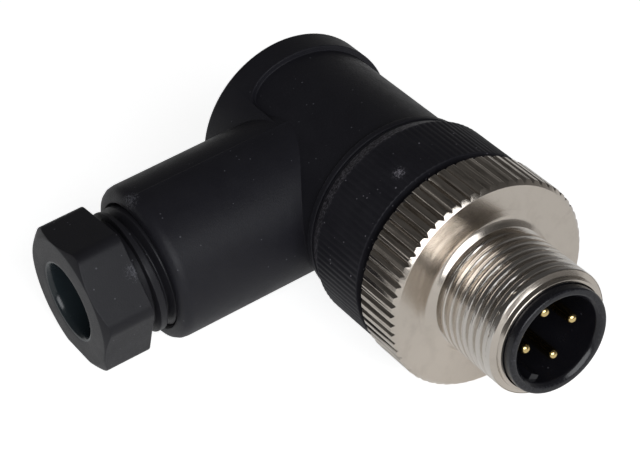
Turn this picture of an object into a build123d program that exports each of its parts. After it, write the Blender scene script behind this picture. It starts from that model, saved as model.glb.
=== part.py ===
from build123d import *
import os
from math import cos, pi, radians, sin, tan

# Right-angle male M12 cable connector, four pins, wired by hand on screw terminals. Millimetres and degrees.
# X is the mating axis and +X points out of the pins. The cable arm points along -Y. +Z is up.
# The pieces are worked out from the point where the mating axis crosses the cable axis.
# At the end they move along X, so that the origin lies halfway along the coupling thread.
# A "reach" is a distance from that crossing point, and a place along the arm is a reach along -Y.

# Fits
seat_gap = 0.05
running_gap = 0.1
thread_play = 0.05
sleeve_play = 0.06

# Crest radius of the union ring's knurl, from which the barrel, the insert and the coupling ring are stepped
union_knurl_radius = 9.873

# Housing: barrel, rear cap band, front lip and threaded spigot
barrel_step = 0.55
cap_step = 0.53
cap_length = 2.88
cap_edge_radius = 0.35
rear_reach = 8.88
shoulder_reach = 8.5
lip_step = 0.9
lip_length = 0.6
spigot_length = 4.4
rear_wall = 1.9
spigot_wall = 1.4

# Cable arm of the housing
arm_radius = 7.45
arm_reach = 21.62
arm_edge_radius = 1.15
arm_mouth_radius = 6.17
chamber_radius = 5.6
chamber_floor = 1.1
wire_passage_radius = 3.6

# Indexing lugs of the insert, in slots of the spigot
index_count = 4
index_slot_width = 1.6
index_slot_length = 2.0
index_slot_depth = 0.35

# Insert: the moulded contact carrier and its seal
insert_turn = 6.0
seal_section = 0.8
seal_section_sides = 12
seal_side_gap = 0.2
flange_thickness = 0.85
neck_radius = 6.35
neck_shoulder = 0.17
clip_groove_depth = 0.75
clip_flange_length = 2.3
collar_radius = 5.05
collar_bore_radius = 4.12
collar_edge_radius = 0.25
collar_lead_in = 0.21
collar_lead_in_length = 0.46
collar_stand_out = 0.98
chamber_depth = 9.6
key_width = 0.9
key_height = 0.6
key_setback = 0.7

# Contacts, their terminals and the terminal block
contact_count = 4
contact_circle_radius = 2.5
pin_radius = 0.5
pin_tip_radius = 0.45
pin_setback = 1.1
terminal_radius = 1.5
terminal_length = 7.6
wire_hole_radius = 0.85
wire_hole_depth = 5.6
terminal_screw_reach = 5.0
block_side_gap = 0.3
block_length = 8.75
terminal_fit = 0.02
screw_shank_radius = 0.75
screw_shank_length = 1.1
screw_head_radius = 1.15
screw_head_length = 1.0
screw_slot_width = 0.35
screw_slot_depth = 0.5
screw_access_gap = 0.15

# Union ring
union_wall = 1.523
union_rear_gap = 0.15
union_rear_land = 0.35
union_rear_step = 0.1
union_cone_rise = 0.623
union_cone_length = 1.4
union_knurl_teeth = 102
union_groove_width = 0.42
union_groove_depth = 0.2
union_front_wall = 1.83
union_front_edge = 0.09
union_hole_gap = 0.15

# Coupling ring and the split ring that holds it
coupling_gap = 0.93
coupling_length = 4.92
coupling_step = 0.184
coupling_knurl_teeth = 64
coupling_groove_width = 0.53
coupling_groove_depth = 0.28
coupling_rear_edge = 0.15
coupling_front_edge = 0.4
neck_cone_radius = 6.65
neck_cone_length = 0.42
relief_length = 0.8
relief_depth = 0.6
thread_radius = 5.98
thread_length = 6.75
nose_step = 0.53
nose_shoulder = 0.1
nose_length = 0.75
nose_taper = 0.1
nose_edge = 0.12
retainer_lip = 0.35
retainer_thickness = 0.55
retainer_bite = 0.55
retainer_slit = 2.0

# Cable gland: nut, washer, clamp cage and seal
gland_thread_radius = 5.9
gland_thread_play = 0.06
gland_thread_length = 8.13
gland_thread_runout = 0.5
gland_relief_length = 0.9
gland_relief_depth = 0.7
gland_nut_gap = 2.51
hex_flats = 12.45
hex_corner_radius = 1.35
hex_length = 4.85
hex_turn = 5.8
hex_face_radius = 6.15
hex_chamfer_angle = 30.0
gland_bore_radius = 3.5
gland_mouth_radius = 0.88
gland_pocket_radius = 4.6
gland_pocket_depth = 4.0
washer_thickness = 0.5
washer_hole_radius = 3.5
cage_gap = 0.15
cage_wall = 1.1
cage_fingers = 8
cage_slit_width = 0.9
cage_slit_share = 0.7
cage_setback = 0.5
cable_seal_bore_radius = 3.1

# Margin by which a cutting body passes the face it cuts
over_cut = 1.0

# Radii stepped from the union ring's knurl
union_cone_radius = union_knurl_radius - union_cone_rise
union_rear_radius = union_cone_radius - union_rear_step
union_bore_radius = union_knurl_radius - union_wall
coupling_knurl_radius = union_knurl_radius + coupling_step
spigot_radius = union_bore_radius - thread_play
cavity_radius = spigot_radius - spigot_wall
block_radius = cavity_radius - block_side_gap
barrel_radius = spigot_radius + barrel_step
lip_radius = spigot_radius + lip_step
cap_radius = barrel_radius + cap_step
flange_radius = spigot_radius
seal_land_radius = flange_radius - seal_section - seal_side_gap

# Places along the mating axis, from the rear to the front
cap_rear_x = -rear_reach
cap_front_x = cap_rear_x + cap_length
cavity_rear_x = cap_rear_x + rear_wall
lip_front_x = shoulder_reach + lip_length
spigot_front_x = lip_front_x + spigot_length
carrier_rear_x = spigot_front_x + seat_gap
block_rear_x = carrier_rear_x - block_length
flange_rear_x = spigot_front_x + seal_section
flange_front_x = flange_rear_x + flange_thickness
union_rear_x = lip_front_x + union_rear_gap
union_inner_x = flange_front_x + seat_gap
union_front_x = union_inner_x + union_front_wall
coupling_rear_x = union_front_x + coupling_gap
retainer_rear_x = coupling_rear_x + retainer_lip
clip_flange_rear_x = retainer_rear_x + retainer_thickness + running_gap
clip_flange_front_x = clip_flange_rear_x + clip_flange_length
clip_neck_radius = neck_radius - clip_groove_depth
pocket_radius = neck_radius + running_gap
pocket_front_x = clip_flange_front_x + running_gap
coupling_front_x = coupling_rear_x + coupling_length
relief_rear_x = coupling_front_x + neck_cone_length
thread_rear_x = relief_rear_x + relief_length
thread_front_x = thread_rear_x + thread_length
sleeve_front_x = thread_front_x + nose_length
sleeve_bore_radius = collar_radius + sleeve_play
collar_front_x = sleeve_front_x + collar_stand_out
chamber_floor_x = collar_front_x - chamber_depth
pin_tip_x = collar_front_x - pin_setback
origin_x = (thread_rear_x + thread_front_x) / 2

# Places along the cable arm, from the crossing point outwards
chamber_floor_reach = cavity_radius + chamber_floor
hex_rear_reach = arm_reach + gland_nut_gap
hex_front_reach = hex_rear_reach + hex_length
nut_inner_reach = hex_rear_reach - gland_thread_length
gland_bore_floor_reach = nut_inner_reach - gland_nut_gap - gland_thread_runout
housing_gland_radius = gland_thread_radius + gland_thread_play
washer_outer_reach = nut_inner_reach - seat_gap
seal_inner_reach = chamber_floor_reach + seat_gap
seal_outer_reach = washer_outer_reach - washer_thickness - gland_nut_gap - seat_gap
cage_radius = chamber_radius - cage_gap
cage_outer_reach = seal_outer_reach - cage_setback


def turned_on_mating_axis(*corners):
    """A turned body from its half section, given as (x, radius) corners."""
    return revolve(make_face(Polyline(*corners, close=True)), Axis.X)


def turned_on_cable_axis(*corners):
    """A turned body from its half section, given as (reach, radius) corners."""
    section = Polyline(*[(radius, -reach) for reach, radius in corners], close=True)
    return revolve(make_face(section), Axis.Y)


def around_mating_axis(count, start_angle):
    """Turns about the mating axis, evenly spaced."""
    return [Rot(X=start_angle + 360 * step / count) for step in range(count)]


def knurled_bar(crest_radius, teeth, groove_width, groove_depth, rear_x, front_x):
    """A bar along the mating axis with straight V grooves all round."""
    half_groove = groove_width / 2 / crest_radius
    root_radius = crest_radius - groove_depth
    corners = []
    for tooth in range(teeth):
        middle = 2 * pi * tooth / teeth
        for angle, radius in (
            (middle - half_groove, crest_radius),
            (middle, root_radius),
            (middle + half_groove, crest_radius),
        ):
            corners.append((radius * cos(angle), radius * sin(angle)))
    section = make_face(Polyline(*corners, close=True))
    return extrude(Plane.YZ.offset(rear_x) * section, front_x - rear_x)


def make_angled_housing():
    """One moulding: barrel, closed rear cap, threaded spigot and hollow cable arm."""
    barrel = turned_on_mating_axis(
        (cap_rear_x, 0),
        (cap_rear_x, cap_radius),
        (cap_front_x, cap_radius),
        (cap_front_x, barrel_radius),
        (shoulder_reach, barrel_radius),
        (shoulder_reach, lip_radius),
        (lip_front_x, lip_radius),
        (lip_front_x, spigot_radius),
        (spigot_front_x, spigot_radius),
        (spigot_front_x, 0),
    )
    cap_rim = barrel.edges().filter_by(GeomType.CIRCLE).group_by(Axis.X)[0]
    barrel = fillet(cap_rim, cap_edge_radius)

    arm = turned_on_cable_axis((0, 0), (0, arm_radius), (arm_reach, arm_radius), (arm_reach, 0))
    arm_rim = arm.edges().filter_by(GeomType.CIRCLE).group_by(Axis.Y)[0]
    arm = fillet(arm_rim, arm_edge_radius)

    # Behind the parting plane the cap's radius goes on over the root of the arm
    root_band = turned_on_mating_axis((cap_front_x, 0), (cap_front_x, cap_radius), (0, cap_radius), (0, 0))
    root_band &= Pos(cap_front_x, 0, 0) * Box(
        2 * abs(cap_front_x), cap_radius, 2 * arm_radius, align=(Align.CENTER, Align.MAX, Align.CENTER)
    )

    cavity = turned_on_mating_axis(
        (cavity_rear_x, 0),
        (cavity_rear_x, cavity_radius),
        (spigot_front_x + over_cut, cavity_radius),
        (spigot_front_x + over_cut, 0),
    )
    mouth_depth = arm_mouth_radius - housing_gland_radius
    gland_bore = turned_on_cable_axis(
        (0, 0),
        (0, wire_passage_radius),
        (chamber_floor_reach, wire_passage_radius),
        (chamber_floor_reach, chamber_radius),
        (gland_bore_floor_reach, chamber_radius),
        (gland_bore_floor_reach, housing_gland_radius),
        (arm_reach - mouth_depth, housing_gland_radius),
        (arm_reach, arm_mouth_radius),
        (arm_reach + over_cut, arm_mouth_radius),
        (arm_reach + over_cut, 0),
    )
    slot = Pos(spigot_front_x, 0, 0) * Box(
        2 * index_slot_length, 2 * (cavity_radius + index_slot_depth), index_slot_width
    )
    slots = [turn * slot for turn in around_mating_axis(index_count // 2, insert_turn + 180 / index_count)]
    return barrel + arm + root_band - cavity - gland_bore - slots


def make_contact_carrier():
    """The insert's front moulding: seal land, flange, neck, clip flange and keyed collar with its lead-in."""
    body = turned_on_mating_axis(
        (carrier_rear_x, 0),
        (carrier_rear_x, seal_land_radius),
        (flange_rear_x, seal_land_radius),
        (flange_rear_x, flange_radius),
        (flange_front_x, flange_radius),
        (flange_front_x, neck_radius),
        (union_front_x + neck_shoulder, neck_radius),
        (union_front_x + neck_shoulder, clip_neck_radius),
        (clip_flange_rear_x, clip_neck_radius),
        (clip_flange_rear_x, neck_radius),
        (clip_flange_front_x, neck_radius),
        (clip_flange_front_x, collar_radius),
        (collar_front_x, collar_radius),
        (collar_front_x, collar_bore_radius + collar_lead_in),
        (collar_front_x - collar_lead_in_length, collar_bore_radius),
        (chamber_floor_x, collar_bore_radius),
        (chamber_floor_x, 0),
    )
    rims = body.edges().filter_by(GeomType.CIRCLE).group_by(Axis.X)[-1]
    body = fillet(rims.sort_by(SortBy.RADIUS)[-1], collar_edge_radius)
    pin_hole = Pos(carrier_rear_x, contact_circle_radius, 0) * Rot(Y=90) * Cylinder(
        pin_radius + terminal_fit, 2 * (chamber_floor_x - carrier_rear_x)
    )
    pin_holes = [turn * pin_hole for turn in around_mating_axis(contact_count, insert_turn)]

    # The coding key stands on the collar's wall, midway between two contacts, on the chamber's floor
    key_length = chamber_depth - key_setback
    key = Pos(chamber_floor_x, collar_bore_radius - key_height, 0) * Box(
        key_length,
        (collar_radius + collar_bore_radius) / 2 - collar_bore_radius + key_height,
        key_width,
        align=(Align.MIN, Align.MIN, Align.CENTER),
    )
    key_angle = insert_turn + 2.5 * 360 / contact_count
    return body - pin_holes + Rot(X=key_angle) * key


def make_terminal_block():
    """The insert's rear moulding, with a bore for each terminal, screw access and indexing lugs."""
    body = turned_on_mating_axis(
        (block_rear_x, 0), (block_rear_x, block_radius), (carrier_rear_x, block_radius), (carrier_rear_x, 0)
    )
    lug_width = index_slot_width - 2 * running_gap
    lug_length = index_slot_length - 2 * running_gap
    lug_radius = cavity_radius + index_slot_depth - running_gap
    lug = Pos(carrier_rear_x, 0, 0) * Box(
        lug_length, 2 * lug_radius, lug_width, align=(Align.MAX, Align.CENTER, Align.CENTER)
    )
    for turn in around_mating_axis(index_count // 2, insert_turn + 180 / index_count):
        body += turn * lug

    terminal_bore = Pos(block_rear_x, contact_circle_radius, 0) * Rot(Y=90) * Cylinder(
        terminal_radius + terminal_fit, 2 * block_length
    )
    screw_place = Pos(carrier_rear_x - terminal_screw_reach, contact_circle_radius, 0)
    screw_access = screw_place * Rot(X=-90) * Cylinder(
        screw_head_radius + screw_access_gap,
        block_radius,
        align=(Align.CENTER, Align.CENTER, Align.MIN),
    )
    for turn in around_mating_axis(contact_count, insert_turn):
        body -= turn * (terminal_bore + screw_access)
    return body


def make_contact(turn):
    """A gold-plated pin with its screw terminal: wire hole from behind, clamping screw from outside."""
    pin = Pos(carrier_rear_x, 0, 0) * Rot(Y=90) * Cylinder(
        pin_radius, pin_tip_x - carrier_rear_x, align=(Align.CENTER, Align.CENTER, Align.MIN)
    )
    pin = fillet(pin.edges().group_by(Axis.X)[-1], pin_tip_radius)
    terminal = Pos(carrier_rear_x, 0, 0) * Rot(Y=-90) * Cylinder(
        terminal_radius, terminal_length, align=(Align.CENTER, Align.CENTER, Align.MIN)
    )
    wire_hole = Pos(carrier_rear_x - terminal_length, 0, 0) * Rot(Y=90) * Cylinder(
        wire_hole_radius, wire_hole_depth, align=(Align.CENTER, Align.CENTER, Align.MIN)
    )
    screw_hole = Pos(carrier_rear_x - terminal_screw_reach, 0, 0) * Rot(X=-90) * Cylinder(
        screw_shank_radius + terminal_fit,
        terminal_radius + over_cut,
        align=(Align.CENTER, Align.CENTER, Align.MIN),
    )
    contact = pin + terminal - wire_hole - screw_hole
    return turn * Pos(0, contact_circle_radius, 0) * contact


def make_terminal_screw(turn):
    """A slotted clamping screw, backed out a little because no wire is fitted."""
    head_seat = terminal_radius + seat_gap
    shank = Cylinder(screw_shank_radius, screw_shank_length, align=(Align.CENTER, Align.CENTER, Align.MAX))
    head = Cylinder(screw_head_radius, screw_head_length, align=(Align.CENTER, Align.CENTER, Align.MIN))
    slot = Pos(0, 0, screw_head_length) * Box(2 * screw_head_radius, screw_slot_width, 2 * screw_slot_depth)
    screw = Rot(X=-90) * (shank + head - slot)
    place = Pos(carrier_rear_x - terminal_screw_reach, contact_circle_radius + head_seat, 0)
    return turn * place * screw


def make_insert_seal():
    """An O-ring between the carrier's flange and the end of the spigot, its round section many-sided."""
    centre_x = spigot_front_x + seal_section / 2
    centre_radius = seal_land_radius + seal_section / 2
    corner_radius = seal_section / 2 / cos(pi / seal_section_sides)
    corners = []
    for side in range(seal_section_sides):
        angle = 2 * pi * (side + 0.5) / seal_section_sides
        corners.append((centre_x + corner_radius * cos(angle), centre_radius + corner_radius * sin(angle)))
    return turned_on_mating_axis(*corners)


def make_union_ring():
    """A cap ring that screws on the spigot and pulls the carrier's flange against the seal."""
    blank_radius = union_knurl_radius + over_cut
    cone_slope = (union_knurl_radius - union_cone_radius) / union_cone_length
    cone_rear_x = union_rear_x + union_rear_land
    hole_radius = neck_radius + union_hole_gap
    blank = turned_on_mating_axis(
        (union_rear_x, union_bore_radius),
        (union_rear_x, union_rear_radius),
        (cone_rear_x, union_rear_radius),
        (cone_rear_x, union_cone_radius),
        (cone_rear_x + (blank_radius - union_cone_radius) / cone_slope, blank_radius),
        (union_front_x - union_front_edge - over_cut, blank_radius),
        (union_front_x, union_knurl_radius - union_front_edge),
        (union_front_x, hole_radius),
        (union_inner_x, hole_radius),
        (union_inner_x, union_bore_radius),
    )
    return blank & knurled_bar(
        union_knurl_radius, union_knurl_teeth, union_groove_width, union_groove_depth,
        union_rear_x - over_cut, union_front_x + over_cut,
    )


def make_coupling_ring():
    """A knurled metal ring with the coupling thread on its sleeve, plain at the crest radius, and a nose."""
    blank_radius = coupling_knurl_radius + over_cut
    relief_radius = thread_radius - relief_depth
    nose_radius = thread_radius - nose_step
    nose_front_radius = nose_radius - nose_taper
    rear_flat_radius = coupling_knurl_radius - coupling_rear_edge
    front_flat_radius = coupling_knurl_radius - coupling_front_edge
    groove_radius = pocket_radius + retainer_bite
    groove_rear_x = retainer_rear_x - seat_gap
    groove_front_x = retainer_rear_x + retainer_thickness + seat_gap
    blank = turned_on_mating_axis(
        (coupling_rear_x, pocket_radius),
        (coupling_rear_x, rear_flat_radius),
        (coupling_rear_x + blank_radius - rear_flat_radius, blank_radius),
        (coupling_front_x - (blank_radius - front_flat_radius), blank_radius),
        (coupling_front_x, front_flat_radius),
        (coupling_front_x, neck_cone_radius),
        (relief_rear_x, thread_radius),
        (relief_rear_x, relief_radius),
        (thread_rear_x, relief_radius),
        (thread_rear_x, thread_radius),
        (thread_front_x, thread_radius),
        (thread_front_x + nose_shoulder, nose_radius),
        (sleeve_front_x - nose_edge, nose_front_radius),
        (sleeve_front_x, nose_front_radius - nose_edge),
        (sleeve_front_x, sleeve_bore_radius),
        (pocket_front_x, sleeve_bore_radius),
        (pocket_front_x, pocket_radius),
        (groove_front_x, pocket_radius),
        (groove_front_x, groove_radius),
        (groove_rear_x, groove_radius),
        (groove_rear_x, pocket_radius),
    )
    return blank & knurled_bar(
        coupling_knurl_radius, coupling_knurl_teeth, coupling_groove_width, coupling_groove_depth,
        coupling_rear_x - over_cut, sleeve_front_x + over_cut,
    )


def make_retaining_ring():
    """A split ring in the coupling ring's groove, behind the carrier's clip flange."""
    outer_radius = pocket_radius + retainer_bite - seat_gap
    inner_radius = clip_neck_radius + running_gap
    front_x = retainer_rear_x + retainer_thickness
    ring = turned_on_mating_axis(
        (retainer_rear_x, inner_radius),
        (retainer_rear_x, outer_radius),
        (front_x, outer_radius),
        (front_x, inner_radius),
    )
    slit = Pos(retainer_rear_x, 0, outer_radius) * Box(
        4 * retainer_thickness, retainer_slit, 2 * (outer_radius - inner_radius) + over_cut
    )
    return ring - slit


def make_gland_nut():
    """The hexagonal pressing nut: rounded corners, a thread plain at its crest radius, and the cable bore."""
    hexagon = RegularPolygon(hex_flats / 2, 6, major_radius=False, rotation=hex_turn)
    hexagon = fillet(hexagon.vertices(), hex_corner_radius)
    head = extrude(Plane.XZ.offset(hex_rear_reach) * hexagon, hex_length)
    chamfer_rise = tan(radians(hex_chamfer_angle))
    head &= turned_on_cable_axis(
        (hex_rear_reach, 0),
        (hex_rear_reach, hex_face_radius + hex_length / chamfer_rise),
        (hex_front_reach, hex_face_radius),
        (hex_front_reach, 0),
    )
    relief_reach = hex_rear_reach - gland_relief_length
    relief_radius = gland_thread_radius - gland_relief_depth
    stem = turned_on_cable_axis(
        (nut_inner_reach, 0),
        (nut_inner_reach, gland_thread_radius),
        (relief_reach, gland_thread_radius),
        (relief_reach, relief_radius),
        (hex_rear_reach + over_cut, relief_radius),
        (hex_rear_reach + over_cut, 0),
    )
    pocket_reach = nut_inner_reach + gland_pocket_depth
    bore = turned_on_cable_axis(
        (nut_inner_reach - over_cut, 0),
        (nut_inner_reach - over_cut, gland_pocket_radius),
        (pocket_reach, gland_pocket_radius),
        (pocket_reach, gland_bore_radius),
        (hex_front_reach + over_cut, gland_bore_radius),
        (hex_front_reach + over_cut, 0),
    )
    nut = head + stem - bore
    mouth = nut.edges().filter_by(GeomType.CIRCLE).group_by(Axis.Y)[0].sort_by(SortBy.RADIUS)[0]
    return fillet(mouth, gland_mouth_radius)


def make_gland_washer():
    """A thin washer that keeps the turning nut from twisting the seal."""
    inner_reach = washer_outer_reach - washer_thickness
    return turned_on_cable_axis(
        (inner_reach, washer_hole_radius),
        (inner_reach, cage_radius),
        (washer_outer_reach, cage_radius),
        (washer_outer_reach, washer_hole_radius),
    )


def make_clamp_cage():
    """A ring with fingers that close round the cable seal."""
    inner_radius = cage_radius - cage_wall
    cage = turned_on_cable_axis(
        (seal_inner_reach, inner_radius),
        (seal_inner_reach, cage_radius),
        (cage_outer_reach, cage_radius),
        (cage_outer_reach, inner_radius),
    )
    slit_length = cage_slit_share * (cage_outer_reach - seal_inner_reach)
    slit = Pos(0, -cage_outer_reach, 0) * Box(4 * cage_radius, 2 * slit_length, cage_slit_width)
    for step in range(cage_fingers // 2):
        cage -= Rot(Y=360 * step / cage_fingers) * slit
    return cage


def make_cable_seal():
    """A rubber bush that the nut squeezes round the cable."""
    seal_radius = cage_radius - cage_wall - running_gap
    return turned_on_cable_axis(
        (seal_inner_reach, cable_seal_bore_radius),
        (seal_inner_reach, seal_radius),
        (seal_outer_reach, seal_radius),
        (seal_outer_reach, cable_seal_bore_radius),
    )


pieces = {
    "angled_housing": make_angled_housing(),
    "union_ring": make_union_ring(),
    "contact_carrier": make_contact_carrier(),
    "terminal_block": make_terminal_block(),
    "insert_seal": make_insert_seal(),
    "coupling_ring": make_coupling_ring(),
    "retaining_ring": make_retaining_ring(),
    "gland_nut": make_gland_nut(),
    "gland_washer": make_gland_washer(),
    "clamp_cage": make_clamp_cage(),
    "cable_seal": make_cable_seal(),
}
for number, contact_turn in enumerate(around_mating_axis(contact_count, insert_turn), start=1):
    pieces[f"contact_{number}"] = make_contact(contact_turn)
    pieces[f"terminal_screw_{number}"] = make_terminal_screw(contact_turn)

os.makedirs("parts", exist_ok=True)
for name, solid in pieces.items():
    export_step(Pos(-origin_x, 0, 0) * solid, f"parts/{name}.step")
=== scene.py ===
# %% [markdown]
# A right-angle M12 connector, dressed for its photograph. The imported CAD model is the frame: it says
# where every part is and which body it moves with. The pieces that the camera sees are built again here
# as fine meshes, with the threads, edge rounding and wear that a CAD solid leaves out.

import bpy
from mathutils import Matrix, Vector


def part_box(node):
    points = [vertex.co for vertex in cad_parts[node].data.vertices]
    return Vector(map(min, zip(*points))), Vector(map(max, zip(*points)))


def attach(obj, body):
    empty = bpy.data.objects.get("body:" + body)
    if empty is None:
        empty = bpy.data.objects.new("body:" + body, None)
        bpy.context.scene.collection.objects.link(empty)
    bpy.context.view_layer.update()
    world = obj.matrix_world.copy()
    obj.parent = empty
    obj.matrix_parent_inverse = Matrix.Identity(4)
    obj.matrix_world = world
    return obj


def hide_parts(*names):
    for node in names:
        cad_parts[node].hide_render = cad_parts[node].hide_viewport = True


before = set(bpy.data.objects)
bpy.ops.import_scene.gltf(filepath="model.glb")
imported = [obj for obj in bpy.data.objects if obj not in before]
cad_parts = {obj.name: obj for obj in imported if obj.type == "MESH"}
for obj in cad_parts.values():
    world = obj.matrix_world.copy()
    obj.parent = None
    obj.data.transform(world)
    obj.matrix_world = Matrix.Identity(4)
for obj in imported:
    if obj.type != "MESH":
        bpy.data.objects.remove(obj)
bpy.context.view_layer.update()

# %% [markdown]
# Blender works in metres, and a connector is made in millimetres, so this file thinks in millimetres and
# converts once, where a point becomes a vertex. Two axes cross inside the housing: the mating axis runs
# along X through the pins, and the cable axis runs along Y through the gland. Most parts are turned on
# one of them, so a place is given as a distance along the axis from that crossing, and a radius.

# %% Read the main places from the frame
from math import asin, atan2, ceil, cos, degrees, hypot, pi, radians, sin, sqrt, tan
from random import Random

import bmesh
import bpy
from mathutils import Matrix, Vector

MM = 0.001


def extent(node):
    """Lowest and highest corner of a CAD node in millimetres."""
    return [tuple(v / MM for v in corner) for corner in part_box(node)]


nut_low, nut_high = extent("gland_nut")
cable_x = (extent("gland_washer")[0][0] + extent("gland_washer")[1][0]) / 2


def along_mating(node):
    """Where a node starts and ends on the mating axis, from the crossing point."""
    low, high = extent(node)
    return low[0] - cable_x, high[0] - cable_x


cap_rear, spigot_front = along_mating("angled_housing")
union_rear, union_front = along_mating("union_ring")
coupling_rear, sleeve_front = along_mating("coupling_ring")
carrier_rear, collar_front = along_mating("contact_carrier")
arm_reach = -extent("angled_housing")[0][1]
cap_radius = extent("angled_housing")[1][2]
union_radius = extent("union_ring")[1][2]
coupling_radius = extent("coupling_ring")[1][2]
print("crossing point at x", round(cable_x, 3), "arm reach", round(arm_reach, 3))

# %% [markdown]
# Nearly every part of a connector is turned or moulded round an axis, so a half section swept round that
# axis makes it. Blender's Spin and Screw tools do this for one fixed section. Here the section may change
# with the angle, which makes a knurl, a hexagon or a thread out of the same sweep, so the mesh is built
# point by point. Each angle gives one column of points, quads join the columns, and equal points are
# merged, so the last column closes on the first.

# %% Sweep a section round an axis
MERGE_DISTANCE = 1e-4 * MM


def on_mating(along, radius, angle):
    """A vertex, in metres, from a place measured on the mating axis."""
    return ((cable_x + along) * MM, radius * cos(angle) * MM, radius * sin(angle) * MM)


def on_cable(along, radius, angle):
    """A vertex, in metres, from a place measured on the cable axis."""
    return ((cable_x + radius * cos(angle)) * MM, -along * MM, radius * sin(angle) * MM)


def full_turn(steps):
    """Even angles from 0 to a full turn, both included."""
    return [2 * pi * step / steps for step in range(steps + 1)]


def swept(section_at, angles, place):
    """A closed mesh from one loop of (along, radius) points per angle."""
    columns = [section_at(angle) for angle in angles]
    count = len(columns[0])
    points = [
        place(along, radius, angle)
        for angle, column in zip(angles, columns)
        for along, radius in column
    ]
    faces = []
    for column in range(len(angles) - 1):
        here = column * count
        there = here + count
        for row in range(count):
            after = (row + 1) % count
            faces.append((here + row, here + after, there + after, there + row))
    mesh = bpy.data.meshes.new("swept")
    mesh.from_pydata(points, [], faces)
    tidy(mesh)
    return mesh


def tidy(mesh):
    """Merges equal points, drops empty faces and turns every face outwards."""
    work = bmesh.new()
    work.from_mesh(mesh)
    bmesh.ops.remove_doubles(work, verts=work.verts, dist=MERGE_DISTANCE)
    bmesh.ops.dissolve_degenerate(work, edges=work.edges, dist=MERGE_DISTANCE)
    bmesh.ops.recalc_face_normals(work, faces=work.faces)
    work.to_mesh(mesh)
    work.free()


# %% [markdown]
# No moulded or machined edge is perfectly sharp, and a small rounding is what catches the light. A Bevel
# modifier could make it, but it picks edges by their angle and would treat a rim and a tooth alike. Here
# each corner of a section carries its own radius. The rounding is a short curve between two points on its
# neighbours, never longer than the edges allow.

# %% Round the corners of a section
ARC_STEPS = 4
EDGE_SHARE = 0.45


def rounded(corners):
    """The loop of points for (along, radius, rounding) corners."""
    loop = []
    for index, (along, radius, rounding) in enumerate(corners):
        here = Vector((along, radius))
        before = Vector(corners[index - 1][:2]) - here
        after = Vector(corners[(index + 1) % len(corners)][:2]) - here
        if rounding == 0:
            loop.append((along, radius))
            continue
        start = here + before.normalized() * min(rounding, EDGE_SHARE * before.length)
        end = here + after.normalized() * min(rounding, EDGE_SHARE * after.length)
        for step in range(ARC_STEPS + 1):
            t = step / ARC_STEPS
            point = start * (1 - t) ** 2 + here * (2 * t * (1 - t)) + end * t * t
            loop.append((point.x, point.y))
    return loop


def turned(corners, place, steps=128):
    """A plain turned mesh, the same at every angle."""
    loop = rounded(corners)
    return swept(lambda angle: loop, full_turn(steps), place)


# %% [markdown]
# The cable arm grows out of the barrel, and a hollow runs through both. Joining such forms by hand would
# mean new faces along a curved seam. An exact boolean finds that seam, the way a toolmaker adds and cuts
# solids. It takes meshes as temporary objects and gives back one mesh.

# %% Join and cut meshes


def in_scene(name, data):
    """An object in the scene for a mesh, a light or a camera."""
    obj = bpy.data.objects.new(name, data)
    bpy.context.scene.collection.objects.link(obj)
    return obj


def combined(mesh, other, operation):
    """The exact boolean of two meshes: UNION or DIFFERENCE."""
    base = in_scene("base", mesh)
    tool = in_scene("tool", other)
    step = base.modifiers.new("join", "BOOLEAN")
    step.operation = operation
    step.solver = "EXACT"
    step.object = tool
    evaluated = base.evaluated_get(bpy.context.evaluated_depsgraph_get())
    result = bpy.data.meshes.new_from_object(evaluated)
    for thing in (base, tool):
        bpy.data.objects.remove(thing)
    return result


def block(low, high):
    """A box mesh between two corners, in millimetres from the crossing point."""
    work = bmesh.new()
    bmesh.ops.create_cube(work, size=1)
    for vert in work.verts:
        spot = [lo + (hi - lo) * (c + 0.5) for lo, hi, c in zip(low, high, vert.co)]
        vert.co = Vector((spot[0] + cable_x, spot[1], spot[2])) * MM
    mesh = bpy.data.meshes.new("block")
    work.to_mesh(mesh)
    work.free()
    return mesh


def turned_by(mesh, angle):
    """The mesh turned about the mating axis."""
    mesh.transform(Matrix.Rotation(angle, 4, "X"))
    return mesh


# %% [markdown]
# Each finished mesh becomes an object that moves with one body of the connector and stands for the CAD
# nodes that it replaces. Flat shading would show every facet, and smooth shading alone would smear over
# the edges. So faces are smooth, edges that really turn are marked sharp by their angle, and a Weighted
# Normal modifier keeps the large faces even.

# %% Put a piece on its body


def piece(name, mesh, material, body, slot, *nodes, sharp=32):
    """A finished piece: smooth, sharp where it turns, on its body and in place of its CAD nodes."""
    mesh.name = name
    obj = in_scene(name, mesh)
    mesh.shade_smooth()
    mesh.set_sharp_from_angle(angle=radians(sharp))
    mesh.materials.clear()
    mesh.materials.append(material)
    even = obj.modifiers.new("even shading", "WEIGHTED_NORMAL")
    even.keep_sharp = True
    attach(obj, body)
    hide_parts(*nodes)
    print(name, len(mesh.polygons), "faces")
    return obj


# %% [markdown]
# One turned part can carry several surfaces: a smooth flat, fine turning lines and a worn knurl. It could
# be split into objects, but the real part is one. Material slots let each face choose its finish, by how
# far along an axis it lies and how far from it.

# %% Give part of a piece another finish


def from_mating(point):
    """How far along the mating axis a point lies, and how far from it, in millimetres."""
    return point.x / MM - cable_x, hypot(point.y, point.z) / MM


def from_cable(point):
    """How far along the cable axis a point lies, and how far from it, in millimetres."""
    return -point.y / MM, hypot(point.x / MM - cable_x, point.z / MM)


def finish_where(obj, material, measured, chosen):
    """Gives a second finish to the faces whose place, measured from an axis, is chosen."""
    mesh = obj.data
    mesh.materials.append(material)
    faces = [face for face in mesh.polygons if chosen(*measured(face.center))]
    for face in faces:
        face.material_index = len(mesh.materials) - 1
    print(obj.name, len(faces), "faces in", material.name)


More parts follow.
